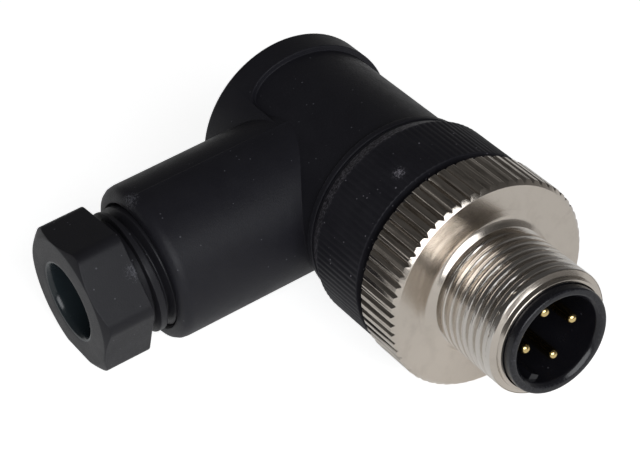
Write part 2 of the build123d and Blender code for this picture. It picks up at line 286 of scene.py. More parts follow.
# %% [markdown]
# A screw thread is a ridge that climbs one pitch in a turn. A bump texture would leave its outline
# smooth, and rows of a mesh that ran straight round would cross the crest in steps. So each row climbs
# with the thread. At both ends the rows are held at the end plane, where their equal points merge, and a
# plain land can be left where the last crest is turned full.

# %% Cut a thread along a helix
THREAD_ROWS = 18
ROOT_STARTS = 0.92
FLANK_WIDTH = 0.5
LAND_EDGE = 0.08


def thread_height(turns):
    """Height of a thread, 0 at the root and 1 at the wide crest, at a place given in pitches."""
    from_crest = abs((turns % 1.0) - 0.5) * 2
    slope = min(1.0, max(0.0, (ROOT_STARTS - from_crest) / FLANK_WIDTH))
    return 0.5 * slope + 0.5 * slope * slope * (3 - 2 * slope)


def threaded(start, end, crest, root, pitch, angle, land=0.0):
    """(along, radius) points of a thread at one angle. land is the plain length at its front end."""
    rows = ceil(THREAD_ROWS * ((end - start) / pitch + 1)) + 1
    turn = angle / (2 * pi)
    points = []
    for row in range(rows):
        along = min(end, max(start, start + pitch * (row / THREAD_ROWS - 1 + turn)))
        radius = root + (crest - root) * thread_height((along - start) / pitch - turn)
        if along > end - land:
            step_down = max(0.0, 1 - (along - end + land) / LAND_EDGE)
            radius = max(radius, crest - (crest - root) * step_down)
        points.append((along, radius))
    return points


# %% [markdown]
# Straight knurling is rolled or moulded as V grooves round a ring. The teeth show in the outline, so they
# are real and not a bump texture. The crests stay at full radius. A smooth minimum rounds the edges of
# each groove, and the columns of the mesh crowd there, where the shape turns.

# %% Shape a knurl


def groove_depth(offset, half_width, depth, softness):
    """Depth below the crest at a distance in millimetres from the middle of a V groove."""
    offset = sqrt(offset * offset + softness * softness)
    wall = depth * (1 - offset / half_width)
    return 0.5 * (wall + sqrt(wall * wall + (0.5 * softness) ** 2))


def knurl_angles(teeth, radius, half_width, crest_offsets=()):
    """Angles of the columns, crowded round the edges of each groove, with some on each crest."""
    shares = (0.0, 0.2, 0.6, 0.9, 1.05, 1.25)
    offsets = {sign * share * half_width / radius for share in shares for sign in (-1, 1)}
    offsets |= {pi / teeth + offset / radius for offset in crest_offsets}
    angles = [2 * pi * tooth / teeth + offset for tooth in range(teeth) for offset in sorted(offsets)]
    return angles + [angles[0] + 2 * pi]


def knurl_radius(angle, teeth, radius, half_width, depth, softness=0.03):
    """Radius of a knurled ring at an angle, with a groove at angle 0."""
    pitch = 2 * pi / teeth
    offset = ((angle + pitch / 2) % pitch - pitch / 2) * radius
    return radius - groove_depth(offset, half_width, depth, softness)


# %% [markdown]
# Now the finishes. Moulded glass-filled plastic is dark but not flat: it has a fine grain from the tool,
# dust and pale scuffs, and edges rubbed pale, where a painted sheen also stands for the light that they
# catch. Several materials need the same effects, so each effect is a node group with named sockets,
# built once. These helpers add and link nodes in one line each, so that a group reads like a formula.
# Places come from object coordinates, scaled to millimetres, so a texture stays on its part when the part
# moves.

# %% Node helpers


def new_group(name, inputs, outputs):
    """An empty shader group. inputs maps names to a number, a place of three or a colour of four."""
    group = bpy.data.node_groups.new(name, "ShaderNodeTree")
    kinds = {3: "NodeSocketVector", 4: "NodeSocketColor"}
    for label, default in inputs.items():
        kind = kinds[len(default)] if isinstance(default, tuple) else "NodeSocketFloat"
        socket = group.interface.new_socket(name=label, in_out="INPUT", socket_type=kind)
        socket.default_value = default
    for label, kind in outputs.items():
        group.interface.new_socket(name=label, in_out="OUTPUT", socket_type=kind)
    return group, group.nodes.new("NodeGroupInput"), group.nodes.new("NodeGroupOutput")


def add_node(tree, kind, **settings):
    """A shader node of a kind, with its settings."""
    node = tree.nodes.new("ShaderNode" + kind)
    for label, value in settings.items():
        setattr(node, label, value)
    return node


def feed(tree, value, socket):
    """Links a socket into another one, or sets it to a plain value."""
    if hasattr(value, "is_linked"):
        tree.links.new(value, socket)
    else:
        socket.default_value = value


def calc(tree, operation, first, second=0.0, third=0.0, clamp=False):
    """A Math node. Each operand is a number or a socket."""
    node = add_node(tree, "Math", operation=operation, use_clamp=clamp)
    for slot, value in enumerate((first, second, third)):
        feed(tree, value, node.inputs[slot])
    return node.outputs[0]


def mixed(tree, factor, first, second):
    """A colour mix. Each operand is a colour or a socket."""
    node = add_node(tree, "Mix", data_type="RGBA")
    for slot, value in ((0, factor), (6, first), (7, second)):
        feed(tree, value, node.inputs[slot])
    return node.outputs[2]


def parts_of(tree, place):
    """The sockets for the x, y and z of a place."""
    node = add_node(tree, "SeparateXYZ")
    tree.links.new(place, node.inputs[0])
    return node.outputs


def place_from(tree, *parts):
    """A place from up to three numbers or sockets."""
    node = add_node(tree, "CombineXYZ")
    for slot, value in enumerate(parts):
        feed(tree, value, node.inputs[slot])
    return node.outputs[0]


def placed(tree, group, **values):
    """A group node with its inputs fed. Their names are written with _ for a space."""
    node = add_node(tree, "Group")
    node.node_tree = group
    for label, value in values.items():
        feed(tree, value, node.inputs[label.replace("_", " ")])
    return node


def millimetres(tree):
    """Object coordinates in millimetres."""
    place = add_node(tree, "TexCoord")
    scaled = add_node(tree, "VectorMath", operation="SCALE")
    tree.links.new(place.outputs["Object"], scaled.inputs[0])
    scaled.inputs["Scale"].default_value = 1 / MM
    return scaled.outputs[0]


def noise(tree, place, scale, detail, roughness):
    """A noise from 0 to 1, with about as many grains to the millimetre as its scale says."""
    node = add_node(tree, "TexNoise")
    for label, value in zip(("Vector", "Scale", "Detail", "Roughness"), (place, scale, detail, roughness)):
        feed(tree, value, node.inputs[label])
    return node.outputs["Fac"]


# %% [markdown]
# Dust sits on a part as separate pale specks. They could be scattered as tiny meshes, but at this size a
# texture does as well. A Voronoi texture cuts space into cells, each with its own random colour. Keeping
# a share of the cells, and only near their centres, leaves sparse round specks.

# %% Dust group


def build_dust():
    """A mask of sparse round specks. Share is the part of all cells that hold one."""
    group, given, out = new_group(
        "dust specks",
        {"Scale": 3.0, "Share": 0.2, "Size": 0.2},
        {"Mask": "NodeSocketFloat"},
    )
    place = millimetres(group)
    cells = add_node(group, "TexVoronoi", feature="F1")
    group.links.new(place, cells.inputs["Vector"])
    group.links.new(given.outputs["Scale"], cells.inputs["Scale"])
    pick = add_node(group, "SeparateColor")
    group.links.new(cells.outputs["Color"], pick.inputs[0])
    chosen = calc(group, "LESS_THAN", pick.outputs[0], given.outputs["Share"])
    size = calc(group, "MULTIPLY", given.outputs["Size"], pick.outputs[1])
    near = calc(group, "SUBTRACT", 1.0, calc(group, "DIVIDE", cells.outputs["Distance"], size), clamp=True)
    dot = calc(group, "SMOOTH_MIN", calc(group, "MULTIPLY", near, 3.0), 1.0, 0.1)
    speck = calc(group, "MULTIPLY", chosen, dot)
    group.links.new(speck, out.inputs["Mask"])
    return group


dust_group = build_dust()
print(dust_group.name, len(dust_group.nodes), "nodes")

# %% [markdown]
# An edge that is gripped gets a broken pale band all round. It could come from an image, but this group
# makes a mask between two places on the mating axis and breaks it up with noise. On the housing's lip
# and the union ring's cone the pale band is also a painted sheen, for the light that those edges catch.

# %% Rubbed band and painted sheen group


def build_rub_and_sheen_band():
    """A broken band between two places on the mating axis."""
    group, given, out = new_group(
        "rubbed band and painted sheen", {"From": 0.0, "To": 0.0, "Amount": 0.0}, {"Mask": "NodeSocketFloat"}
    )
    place = millimetres(group)
    x = parts_of(group, place)[0]
    behind = calc(group, "SUBTRACT", x, given.outputs["From"])
    ahead = calc(group, "SUBTRACT", given.outputs["To"], x)
    rise = calc(group, "MULTIPLY", behind, 8.0, clamp=True)
    fall = calc(group, "MULTIPLY", ahead, 3.0, clamp=True)
    band = calc(group, "MULTIPLY", rise, fall)
    patchy = calc(group, "SUBTRACT", noise(group, place, 4.5, 4.0, 0.75), 0.45)
    broken = calc(group, "MULTIPLY", patchy, 5.0, clamp=True)
    mask = calc(group, "MULTIPLY", calc(group, "MULTIPLY", band, broken), given.outputs["Amount"])
    group.links.new(mask, out.inputs["Mask"])
    return group


rub_and_sheen_band = build_rub_and_sheen_band()
print(rub_and_sheen_band.name, len(rub_and_sheen_band.nodes), "nodes")

# %% [markdown]
# A knock leaves one small rough patch. The group makes a mask round a point and lets noise break it up,
# more towards its rim. The same mask lifts the bump, because a scuff is rough as well as pale.

# %% Scuff group


def build_scuff():
    """A rough patch round one place. Size is its reach in millimetres."""
    group, given, out = new_group(
        "scuff", {"Place": (0.0, 0.0, 0.0), "Size": 0.0}, {"Mask": "NodeSocketFloat"}
    )
    place = millimetres(group)
    gap = add_node(group, "VectorMath", operation="DISTANCE")
    group.links.new(place, gap.inputs[0])
    group.links.new(given.outputs["Place"], gap.inputs[1])
    size = calc(group, "ADD", given.outputs["Size"], 0.001)
    near = calc(group, "SUBTRACT", 1.0, calc(group, "DIVIDE", gap.outputs["Value"], size), clamp=True)
    grain = calc(group, "MULTIPLY_ADD", near, 0.22, noise(group, place, 6.0, 4.0, 0.8))
    broken = calc(group, "MULTIPLY", calc(group, "SUBTRACT", grain, 0.62), 9.0, clamp=True)
    inside = calc(group, "MULTIPLY", near, 3.0, clamp=True)
    group.links.new(calc(group, "MULTIPLY", broken, inside), out.inputs["Mask"])
    return group


scuff_group = build_scuff()
print(scuff_group.name, len(scuff_group.nodes), "nodes")

# %% [markdown]
# The skin of a moulding copies the spark-eroded steel of its tool. Noise at about seven grains to the
# millimetre gives the height, a second and coarser noise changes how much each area shines, and the dust,
# band and scuff groups add their marks. A Bevel node softens the normal near creases, as a real radius
# would.

# %% Moulded skin group


def build_moulded_skin():
    """Colour, roughness and normal of moulded plastic, with its dust and wear."""
    group, given, out = new_group(
        "moulded skin",
        {
            "Color": (0.008, 0.008, 0.01, 1.0),
            "Mark Color": (0.11, 0.11, 0.125, 1.0),
            "Dust Share": 0.16,
            "Roughness": 0.45,
            "Grain": 0.1,
            "Rub From": 0.0,
            "Rub To": 0.0,
            "Rub Amount": 0.0,
            "Scuff Place": (0.0, 0.0, 0.0),
            "Scuff Size": 0.0,
        },
        {"Color": "NodeSocketColor", "Roughness": "NodeSocketFloat", "Normal": "NodeSocketVector"},
    )
    place = millimetres(group)
    grain = noise(group, place, 7.0, 3.0, 0.6)
    cloud = noise(group, place, 0.45, 3.0, 0.55)
    dust = placed(group, dust_group, Scale=2.2, Size=0.22, Share=given.outputs["Dust Share"])
    # The band is pale rubbing, and on the housing's lip and the union ring's cone also a painted sheen.
    band_inputs = {label: given.outputs["Rub " + label] for label in ("From", "To", "Amount")}
    band = placed(group, rub_and_sheen_band, **band_inputs)
    knock = {label: given.outputs["Scuff " + label] for label in ("Place", "Size")}
    scuff = placed(group, scuff_group, **knock)
    veil = calc(group, "MULTIPLY", calc(group, "SUBTRACT", cloud, 0.35, clamp=True), 0.06)
    marks = calc(group, "ADD", band.outputs["Mask"], scuff.outputs["Mask"])
    film = calc(group, "MULTIPLY_ADD", calc(group, "SUBTRACT", grain, 0.55, clamp=True), 0.14, veil)
    dirt = calc(group, "MULTIPLY_ADD", dust.outputs["Mask"], 0.8, film)
    amount = calc(group, "ADD", dirt, marks, clamp=True)
    color = mixed(group, amount, given.outputs["Color"], given.outputs["Mark Color"])
    group.links.new(color, out.inputs["Color"])
    uneven = calc(group, "MULTIPLY", calc(group, "SUBTRACT", cloud, 0.5), 0.22)
    fine = calc(group, "MULTIPLY", calc(group, "SUBTRACT", grain, 0.5), 0.3)
    rough = calc(group, "ADD", given.outputs["Roughness"], calc(group, "ADD", uneven, fine), clamp=True)
    group.links.new(rough, out.inputs["Roughness"])
    soft = add_node(group, "Bevel", samples=4)
    soft.inputs["Radius"].default_value = 0.07 * MM
    bump = add_node(group, "Bump")
    bump.inputs["Distance"].default_value = 0.02 * MM
    group.links.new(given.outputs["Grain"], bump.inputs["Strength"])
    group.links.new(calc(group, "MULTIPLY_ADD", marks, 0.8, grain), bump.inputs["Height"])
    group.links.new(soft.outputs[0], bump.inputs["Normal"])
    group.links.new(bump.outputs[0], out.inputs["Normal"])
    return group


moulded_skin = build_moulded_skin()
print(moulded_skin.name, len(moulded_skin.nodes), "nodes")

# %% [markdown]
# Nickel plating is bright but not a mirror. Its glow is a little warm, the turning tool leaves lines
# round the axis, and handling leaves tiny pits and smears. The lines are a noise that reads only the
# place along the axis and the distance from it, so it hardly changes round the axis. On the thread the
# lines are deep enough to spread a lamp into one long glint, and in the knurl brown grime lies in streaks
# along the teeth.

# %% Turned metal group


def build_turned_metal():
    """Colour, roughness and normal of turned and plated metal, with its tool lines and grime."""
    group, given, out = new_group(
        "turned metal",
        {
            "Color": (0.69, 0.625, 0.555, 1.0),
            "Dark Color": (0.36, 0.3, 0.25, 1.0),
            "Roughness": 0.17,
            "Lines": 0.05,
            "Pits": 0.06,
            "Streaks": 0.0,
        },
        {"Color": "NodeSocketColor", "Roughness": "NodeSocketFloat", "Normal": "NodeSocketVector"},
    )
    place = millimetres(group)
    x, y, z = parts_of(group, place)
    radius = calc(group, "SQRT", calc(group, "MULTIPLY_ADD", z, z, calc(group, "MULTIPLY", y, y)))
    unrolled = place_from(group, x, radius)
    lengthways = place_from(group, calc(group, "MULTIPLY", x, 0.1), y, z)
    lines = noise(group, unrolled, 9.0, 3.0, 0.7)
    pits = noise(group, place, 11.0, 2.0, 0.6)
    smear = noise(group, place, 0.7, 3.0, 0.6)
    streaks = noise(group, lengthways, 3.2, 3.0, 0.65)
    grime = calc(group, "MULTIPLY", calc(group, "SUBTRACT", streaks, 0.47), 4.0, clamp=True)
    stain = calc(group, "MULTIPLY", calc(group, "SUBTRACT", smear, 0.5, clamp=True), 0.7)
    dark = calc(group, "MULTIPLY_ADD", grime, given.outputs["Streaks"], stain, clamp=True)
    color = mixed(group, dark, given.outputs["Color"], given.outputs["Dark Color"])
    group.links.new(color, out.inputs["Color"])
    uneven = calc(group, "MULTIPLY", calc(group, "SUBTRACT", smear, 0.5), 0.16)
    rough = calc(group, "ADD", given.outputs["Roughness"], uneven, clamp=True)
    group.links.new(rough, out.inputs["Roughness"])
    pitted = calc(group, "MULTIPLY", pits, given.outputs["Pits"])
    height = calc(group, "MULTIPLY_ADD", lines, given.outputs["Lines"], pitted)
    bump = add_node(group, "Bump")
    bump.inputs["Distance"].default_value = 0.01 * MM
    group.links.new(height, bump.inputs["Height"])
    group.links.new(bump.outputs[0], out.inputs["Normal"])
    return group


turned_metal = build_turned_metal()
print(turned_metal.name, len(turned_metal.nodes), "nodes")

# %% [markdown]
# A material keeps its own Principled BSDF. The group feeds it what changes over the surface, and a number
# that is the same everywhere is set on the shader's own socket, where an exported model can read it.

# %% Materials from the groups


def material_from(name, group, metallic=0.0, specular=0.5, **values):
    """A Principled material fed by a group. values are the group's inputs."""
    material = bpy.data.materials.new(name)
    material.use_nodes = True
    tree = material.node_tree
    shader = tree.nodes["Principled BSDF"]
    shader.inputs["Metallic"].default_value = metallic
    shader.inputs["Specular IOR Level"].default_value = specular
    effect = placed(tree, group, **values)
    for output, label in (("Color", "Base Color"), ("Roughness", "Roughness"), ("Normal", "Normal")):
        tree.links.new(effect.outputs[output], shader.inputs[label])
    return material


# %% [markdown]
# The housing, the nut and the rings are black, but no two alike: the arm has a coarser grain, the insert
# is smoother, and the union ring is dusty and pale on its cone. The wear is placed where a hand or a
# spanner meets each piece. The pale bands on the union ring's cone and on the housing's lip are also a
# painted sheen, which stands for the light that those edges catch.

# %% Plastics and rubber
lip_rear = 8.5
cone_rear = union_rear + 0.35
cone_length = 1.4

housing_black = material_from(
    "housing black", moulded_skin, specular=0.25,
    Color=(0.016, 0.0155, 0.0202, 1.0), Roughness=0.44, Grain=0.9, Dust_Share=0.13,
    # On the rear edge of the lip the pale band is a painted highlight as well as rubbing.
    Rub_From=cable_x + lip_rear - 0.1, Rub_To=cable_x + lip_rear + 0.2, Rub_Amount=0.7,
    Scuff_Place=(cable_x, -21.4, 7.4), Scuff_Size=1.35,
)
gland_black = material_from(
    "gland black", moulded_skin, specular=0.26,
    Color=(0.0165, 0.016, 0.0195, 1.0), Roughness=0.4, Grain=0.5,
    Scuff_Place=(cable_x + 5.0, -24.3, 4.0), Scuff_Size=1.3,
)
insert_black = material_from(
    "insert black", moulded_skin, specular=0.42,
    Color=(0.0095, 0.0092, 0.0122, 1.0), Roughness=0.2,
    Rub_From=cable_x + collar_front - 0.2, Rub_To=cable_x + collar_front + 1, Rub_Amount=0.2,
)
ring_black = material_from(
    "ring black", moulded_skin, specular=0.22,
    # The pale Mark Color serves the dust, the scuff and the band; on the cone and its rear lip the band is a
    # painted sheen as well as rubbing.
    Color=(0.0155, 0.015, 0.0195, 1.0), Mark_Color=(0.28, 0.265, 0.3, 1.0), Roughness=0.5, Dust_Share=0.3,
    Rub_From=cable_x + cone_rear - 0.1, Rub_To=cable_x + cone_rear + cone_length + 0.1, Rub_Amount=0.8,
    Scuff_Place=(cable_x + 15.2, -3.0, 9.4), Scuff_Size=0.95,
)
rubber = material_from(
    "seal rubber", moulded_skin,
    Color=(0.02, 0.0275, 0.032, 1.0), Roughness=0.2, Grain=0.05, Dust_Share=0.02,
)
cage_grey = material_from("cage grey", moulded_skin, Color=(0.05, 0.05, 0.052, 1.0), Roughness=0.45)
print("plastics", [finish.name for finish in (housing_black, gland_black, insert_black, ring_black)])

# %% [markdown]
# The coupling ring's nickel has three states: plain on the flat and the neck, over fine lines on the
# thread, and pitted with grime in the rolled knurl. The pins are gold over brass, and the hidden screws
# and spring are plain steels.

# %% Metals
nickel = material_from("nickel plate", turned_metal, metallic=1.0, Roughness=0.21, Lines=0.02)
nickel_turned = material_from(
    "nickel over turning lines", turned_metal, metallic=1.0,
    Color=(0.71, 0.67, 0.625, 1.0), Dark_Color=(0.48, 0.45, 0.415, 1.0), Roughness=0.12, Lines=1.4,
)
nickel_knurled = material_from(
    "nickel in the knurl", turned_metal, metallic=1.0,
    Dark_Color=(0.3, 0.27, 0.235, 1.0), Roughness=0.15, Pits=0.35, Streaks=0.95, Lines=0.15,
)
gold = material_from(
    "gold plate", turned_metal, metallic=0.998,
    Color=(0.86, 0.66, 0.3, 1.0), Dark_Color=(0.6, 0.42, 0.16, 1.0), Roughness=0.13, Lines=0.03,
)
screw_steel = material_from(
    "zinc plated steel", turned_metal, metallic=1.0,
    Color=(0.55, 0.55, 0.56, 1.0), Dark_Color=(0.35, 0.35, 0.36, 1.0), Roughness=0.28,
)
spring_steel = material_from(
    "dull spring steel", turned_metal, metallic=1.0,
    Color=(0.35, 0.35, 0.36, 1.0), Dark_Color=(0.2, 0.2, 0.21, 1.0), Roughness=0.35,
)
print(len(bpy.data.materials), "materials")

# %% [markdown]
# The angled housing is one moulding. Its barrel and its cable arm are turned forms, so both are swept and
# then joined. Over the root of the arm the cap's radius runs on to the middle of the arm, and a fillet
# leads into that shoulder. The sweep makes it by giving each angle its own end of the cap, because a
# separate block would share faces with the arm. The barrel's front carries the M17 spigot thread, which
# shows only when the union ring is off.

# %% Housing: barrel with its spigot thread
cap_front = cap_rear + 2.88
barrel_radius = 8.85
lip_front = 9.1
lip_radius = 9.2
spigot_crest = 8.3
spigot_root = 7.72
thread_run_in = 0.25
spigot_end = 0.1
arm_radius = 7.45
shoulder_height = arm_radius + 0.02
shoulder_fillet = 1.9
shoulder_angle = pi - asin(shoulder_height / cap_radius)


def cap_end(angle):
    """Where the cap's radius ends at an angle: further forward over the root of the arm."""
    above = cap_radius * abs(sin(angle)) - shoulder_height
    if cos(angle) > 0 or above > shoulder_fillet:
        return cap_front
    if above <= 0:
        return 0.0
    return cap_front + shoulder_fillet - sqrt(shoulder_fillet ** 2 - (shoulder_fillet - above) ** 2)


def barrel_section(angle):
    """The barrel at an angle: closed end, cap, barrel, lip and spigot thread."""
    thread_end = spigot_front - spigot_end
    front = threaded(lip_front + thread_run_in, thread_end, spigot_crest, spigot_root, 1.0, angle)
    rear = rounded([
        (cap_rear, 0, 0),
        (cap_rear, cap_radius, 0.35),
        (cap_end(angle), cap_radius, 0.12),
        (cap_end(angle), barrel_radius, 0.1),
        (lip_rear, barrel_radius, 0.04),
        (lip_rear, lip_radius, 0.08),
        (lip_front, lip_radius, 0.08),
        (lip_front, spigot_root, 0),
    ])
    return rear + front + [(spigot_front, spigot_root), (spigot_front, 0)]


barrel_angles = {step * 2 * pi / 256 for step in range(256)}
for offset in (-0.0005, 0.0005, 0.003, 0.007, 0.013):
    barrel_angles |= {shoulder_angle - offset, 2 * pi - shoulder_angle + offset}
barrel_angles = sorted(barrel_angles) + [2 * pi]
barrel = swept(barrel_section, barrel_angles, on_mating)
print("shoulder edge at", round(degrees(shoulder_angle), 1), "degrees")

# %% [markdown]
# The cable arm is a tube with a well rounded mouth. Where the halves of the mould meet, a fine ridge runs
# along its top, and a few extra columns make it. The hollows are swept like the outside and cut with
# booleans, which gives a clean edge where the arm's passage breaks into the barrel. Notches in the end of
# the spigot let the insert be set in steps of 90 degrees.

# %% Housing: arm and hollows
arm_rounding = 1.15
parting_line = 0.04
ridge_half_angle = 0.02
cavity_radius = 6.9
closed_wall = 1.9
gland_bore = 5.96
chamber_radius = 5.6
passage_radius = 3.6
chamber_floor_reach = 8.0
bore_floor_reach = 12.99
mouth_radius = 6.17
insert_turn = radians(6.0)
index_length = 2.0
index_depth = 0.35
index_half_width = 0.8
past = 2.0


def arm_section(angle):
    """The arm at an angle, with the fine ridge of the mould's parting line along its top."""
    radius = arm_radius + parting_line * max(0.0, 1 - abs(angle - pi / 2) / ridge_half_angle)
    return rounded([(0, 0, 0), (0, radius, 0), (arm_reach, radius, arm_rounding), (arm_reach, 0, 0)])


ridge_columns = {pi / 2 + share * ridge_half_angle for share in (-1, -0.5, 0.5, 1)}
arm_angles = sorted(set(full_turn(224)) | ridge_columns)
arm = swept(arm_section, arm_angles, on_cable)
cavity = turned(
    [
        (cap_rear + closed_wall, 0, 0),
        (cap_rear + closed_wall, cavity_radius, 0.2),
        (spigot_front + past, cavity_radius, 0),
        (spigot_front + past, 0, 0),
    ],
    on_mating, 160,
)
bore = turned(
    [
        (0, 0, 0),
        (0, passage_radius, 0),
        (chamber_floor_reach, passage_radius, 0.1),
        (chamber_floor_reach, chamber_radius, 0.1),
        (bore_floor_reach, chamber_radius, 0),
        (bore_floor_reach, gland_bore, 0),
        (arm_reach - 0.3, gland_bore, 0.1),
        (arm_reach, mouth_radius, 0.08),
        (arm_reach + past, mouth_radius + past, 0),
        (arm_reach + past, 0, 0),
    ],
    on_cable, 160,
)
index_slot = block(
    (spigot_front - index_length, -cavity_radius - index_depth, -index_half_width),
    (spigot_front + past, cavity_radius + index_depth, index_half_width),
)
housing_mesh = combined(barrel, arm, "UNION")
for hollow in (cavity, bore):
    housing_mesh = combined(housing_mesh, hollow, "DIFFERENCE")
for turn in (insert_turn + pi / 4, insert_turn + 3 * pi / 4):
    housing_mesh = combined(housing_mesh, turned_by(index_slot.copy(), turn), "DIFFERENCE")
piece("housing_shell", housing_mesh, housing_black, "housing", "housing_plastic", "angled_housing", sharp=30)

# %% [markdown]
# The union ring holds the insert in the housing. Its fine knurl is moulded, and at the rear it runs out
# over a shallow cone, where the tooth tips are rubbed pale and carry a painted sheen. Behind the cone is
# a plain land that meets the housing's lip. The knurl is part of the section, so the cone cuts each tooth
# at its own place, as it does on the real ring.

# %% Union ring
UNION_TEETH = 102
union_half_groove = 0.21
union_groove = 0.085
union_softness = 0.08
land_radius = 9.15
cone_radius = 9.25
union_edge = 0.09
flange_front = union_front - 1.88
union_hole = 6.5
union_bore = 8.35


def union_section(angle):
    """The union ring at an angle, with its land, cone, knurl and inner flange."""
    crest = knurl_radius(angle, UNION_TEETH, union_radius, union_half_groove, union_groove, union_softness)
    slope = (union_radius - cone_radius) / cone_length
    cone_end = cone_rear + (crest - cone_radius) / slope
    front_edge = union_radius - union_edge
    return rounded([
        (union_rear, union_bore, 0.05),
        (union_rear, land_radius, 0.07),
        (cone_rear, land_radius, 0.03),
        (cone_rear, cone_radius, 0.04),
        (cone_end, crest, 0.05),
        (union_front - max(0.0, crest - front_edge), crest, 0.03),
        (union_front, min(crest, front_edge), 0.03),
        (union_front, union_hole, 0.08),
        (flange_front, union_hole, 0),
        (flange_front, union_bore, 0),
    ])


union_mesh = swept(union_section, knurl_angles(UNION_TEETH, union_radius, union_half_groove), on_mating)
piece("union_ring_knurled", union_mesh, ring_black, "union", "housing_plastic", "union_ring")

# %% [markdown]
# The coupling ring is turned from brass and nickel-plated. The knurl is coarse, and its front edge is
# chamfered at 45 degrees. The chamfer starts lower on a groove than on a crest, and that makes the bright
# zigzag in the photograph. Rolled teeth are never quite alike, so each crest gets a slight tilt and a
# seam from a seeded random number.

# %% Coupling ring: knurled body
COUPLING_TEETH = 64
coupling_half_groove = 0.265
coupling_groove = 0.28
crest_offsets = (-0.16, -0.08, 0.0, 0.08, 0.16)
coupling_front = coupling_rear + 4.92
pocket_radius = 6.45
pocket_front = coupling_rear + 3.4
sleeve_bore = 5.11
body_hole = 6.35
rear_edge = 0.15
front_edge = 0.4
seam_half_width = 0.1
crest_half_width = 0.23
deepest_dip = 0.06

chance = Random(12)
crest_marks = []
for tooth in range(COUPLING_TEETH):
    seam = max(0.0, chance.uniform(-0.02, 0.035))
    crest_marks.append((seam, chance.uniform(-0.1, 0.1)))


def crest_dip(angle):
    """How far a crest of the rolled knurl lies below the full radius: a slight tilt and a seam."""
    pitch = 2 * pi / COUPLING_TEETH
    seam, tilt = crest_marks[int(angle // pitch) % COUPLING_TEETH]
    offset = ((angle % pitch) - pitch / 2) * coupling_radius
    sunk = max(0.0, seam * (1 - abs(offset) / seam_half_width)) + tilt * offset + abs(tilt) * crest_half_width
    return min(sunk, deepest_dip)


def coupling_section(angle):
    """The coupling ring's body at an angle, with the pocket for the retaining ring."""
    crest = knurl_radius(angle, COUPLING_TEETH, coupling_radius, coupling_half_groove, coupling_groove)
    crest -= crest_dip(angle)
    rear_flat = coupling_radius - rear_edge
    front_flat = coupling_radius - front_edge
    return rounded([
        (coupling_rear, pocket_radius, 0),
        (coupling_rear, min(crest, rear_flat), 0.03),
        (coupling_rear + max(0.0, crest - rear_flat), crest, 0.03),
        (coupling_front - (crest - front_flat), crest, 0.03),
        (coupling_front, front_flat, 0.04),
        (coupling_front, body_hole, 0),
        (pocket_front, body_hole, 0),
        (pocket_front, pocket_radius, 0),
    ])


knurl_columns = knurl_angles(COUPLING_TEETH, coupling_radius, coupling_half_groove, crest_offsets)
coupling_body = swept(coupling_section, knurl_columns, on_mating)

# %% [markdown]
# The sleeve has a neck with a soft foot, a relief groove, the M12 thread, a last full crest, a shoulder
# and a plain nose. Polished metal shows the room, so a slope matters more than a size: a face tilted by
# 45 degrees shows the lamp, and one at 60 degrees the dim room beside it. The sleeve is a sweep of its
# own, since a thread needs fewer columns than a knurl, and both closed shells go into one mesh.

# %% Coupling ring: sleeve and thread
thread_crest = 5.98
thread_root = 5.48
thread_rear = coupling_front + 1.22
thread_front = thread_rear + 6.75
last_land = 0.5
sleeve_root = 6.65
neck_foot_radius = 6.46
neck_foot_reach = 0.9
neck_length = 0.53
relief_radius = 5.38
rib_middle = coupling_front + 0.88
rib_height = 0.12
nose_rear_radius = 5.45
nose_front_radius = 5.42
nose_edge = 0.07
shoulder_length = 0.26


def sleeve_section(angle):
    """The sleeve at an angle, from its root in the body to its nose."""
    rear = rounded([
        (pocket_front, sleeve_bore, 0),
        (pocket_front, sleeve_root, 0),
        (coupling_front - 0.02, neck_foot_radius + neck_foot_reach, 0),
        (coupling_front + 0.003, neck_foot_radius + neck_foot_reach, 0),
        (coupling_front + 0.04, neck_foot_radius, 0.4),
        (coupling_front + neck_length, thread_crest + 0.02, 0.04),
        (coupling_front + neck_length + 0.08, relief_radius + 0.06, 0.03),
        (rib_middle - 0.1, relief_radius, 0.04),
        (rib_middle, relief_radius + rib_height, 0.03),
        (rib_middle + 0.14, relief_radius, 0.04),
        (thread_rear - 0.04, relief_radius, 0.03),
    ])
    thread = threaded(thread_rear, thread_front - 0.06, thread_crest, thread_root, 1.0, angle, last_land)
    nose = rounded([
        (thread_front - 0.02, thread_crest, 0.1),
        (thread_front + shoulder_length, nose_rear_radius, 0.08),
        (sleeve_front - nose_edge, nose_front_radius, 0.05),
        (sleeve_front, nose_front_radius - nose_edge, 0.04),
        (sleeve_front, sleeve_bore + 0.04, 0),
    ])
    return rear + thread + nose + [(sleeve_front - 0.06, sleeve_bore)]


sleeve = swept(sleeve_section, full_turn(192), on_mating)


def joined(*meshes):
    """One mesh from several closed shells."""
    work = bmesh.new()
    for mesh in meshes:
        work.from_mesh(mesh)
    result = bpy.data.meshes.new("joined")
    work.to_mesh(result)
    work.free()
    return result


def on_thread(along, radius):
    """Whether a face is on the sleeve between the neck and the nose."""
    return coupling_front + neck_length < along < thread_front and radius < thread_crest + 0.05


def on_knurl(along, radius):
    """Whether a face is on a tooth behind the front chamfer."""
    return along < coupling_front - front_edge and radius > coupling_radius - front_edge + 0.02


coupling_mesh = joined(coupling_body, sleeve)
coupling = piece("coupling_ring_threaded", coupling_mesh, nickel, "coupling", "nickel_plate", "coupling_ring")
finish_where(coupling, nickel_turned, from_mating, on_thread)
finish_where(coupling, nickel_knurled, from_mating, on_knurl)

# %% [markdown]
# The contact carrier is the black insert. Its collar stands in the sleeve and ends in a rounded rim with
# a lead-in, and the coding key is a rib on the wall of the chamber, which lets the plug enter one way
# only. The carrier is a plain sweep, and the key is added with a boolean, because it is the one part of
# it that isn't round.

